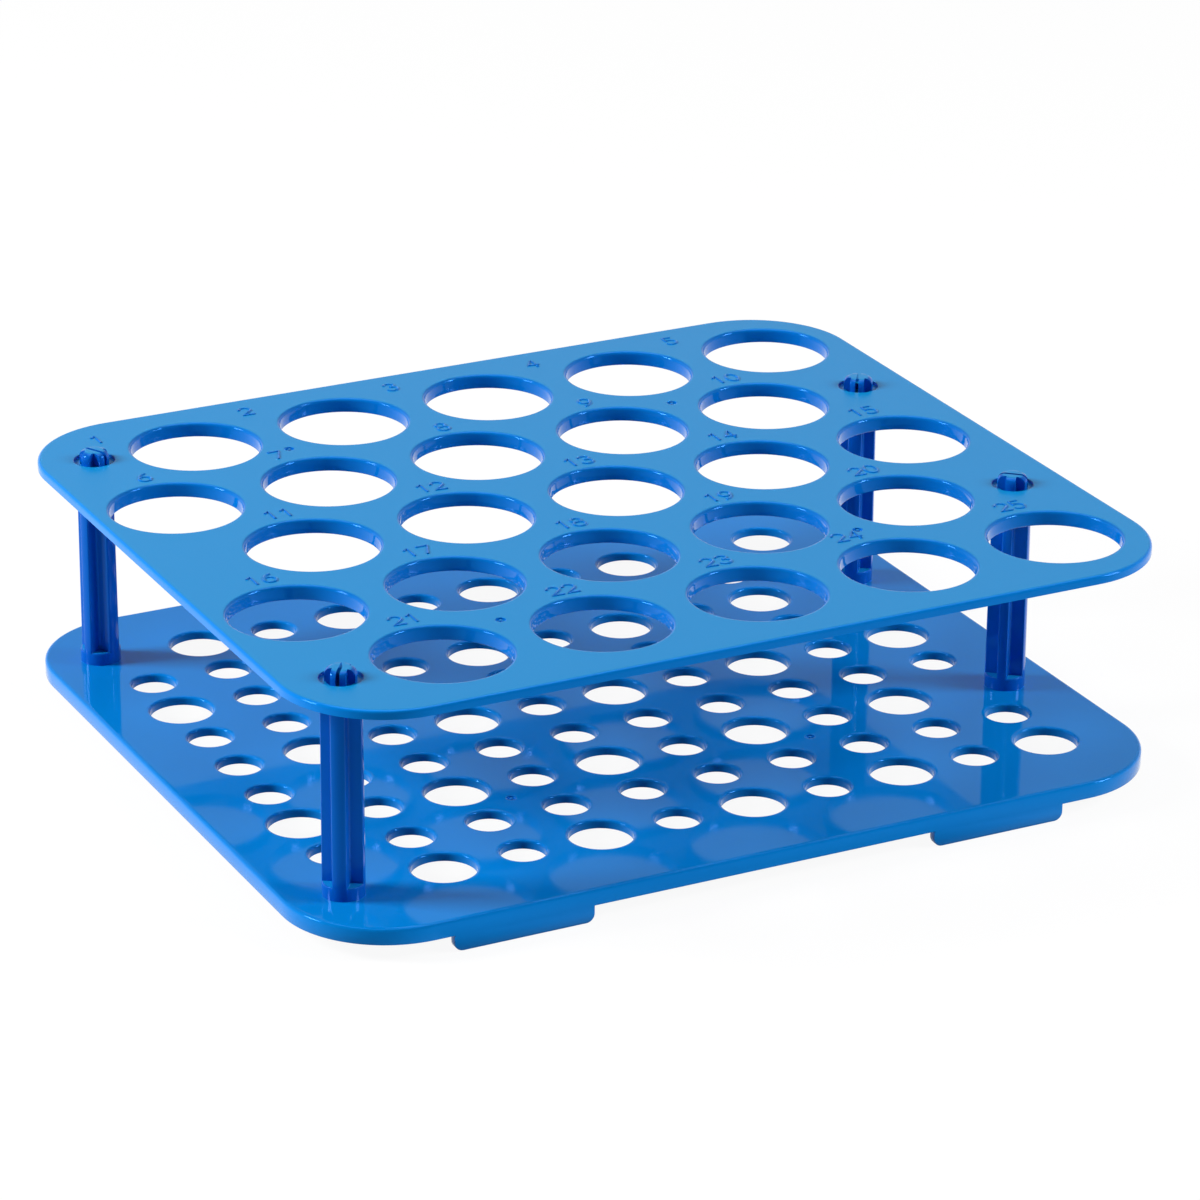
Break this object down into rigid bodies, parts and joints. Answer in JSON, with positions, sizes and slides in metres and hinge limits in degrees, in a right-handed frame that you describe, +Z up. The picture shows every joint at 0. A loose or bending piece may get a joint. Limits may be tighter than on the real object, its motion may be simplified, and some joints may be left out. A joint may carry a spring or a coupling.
{
  "type": "centrifuge tube rack",
  "caption": "Flat two-deck bench rack: a top plate with staggered round holes stands on ribbed snap-in posts over a perforated base that takes the tips of conical tubes.",
  "frame": {"origin": "middle of the rack's footprint, on the surface that the base lugs stand on", "axes": "+X along the hole rows towards the end where the rows that aren't set off finish, +Y to the back row, +Z up"},
  "size_m": [0.206, 0.18, 0.0589],
  "materials": {
    "plate_blue": "glossy moulded polypropylene, clear mid blue",
    "post_blue": "glossy moulded polypropylene, deep blue"
  },
  "bodies": {
    "root": {"top_plate": "plate_blue", "base_plate": "plate_blue", "post_back_left": "post_blue", "post_front_left": "post_blue", "post_back_right": "post_blue", "post_front_right": "post_blue"}
  },
  "joints": []
}
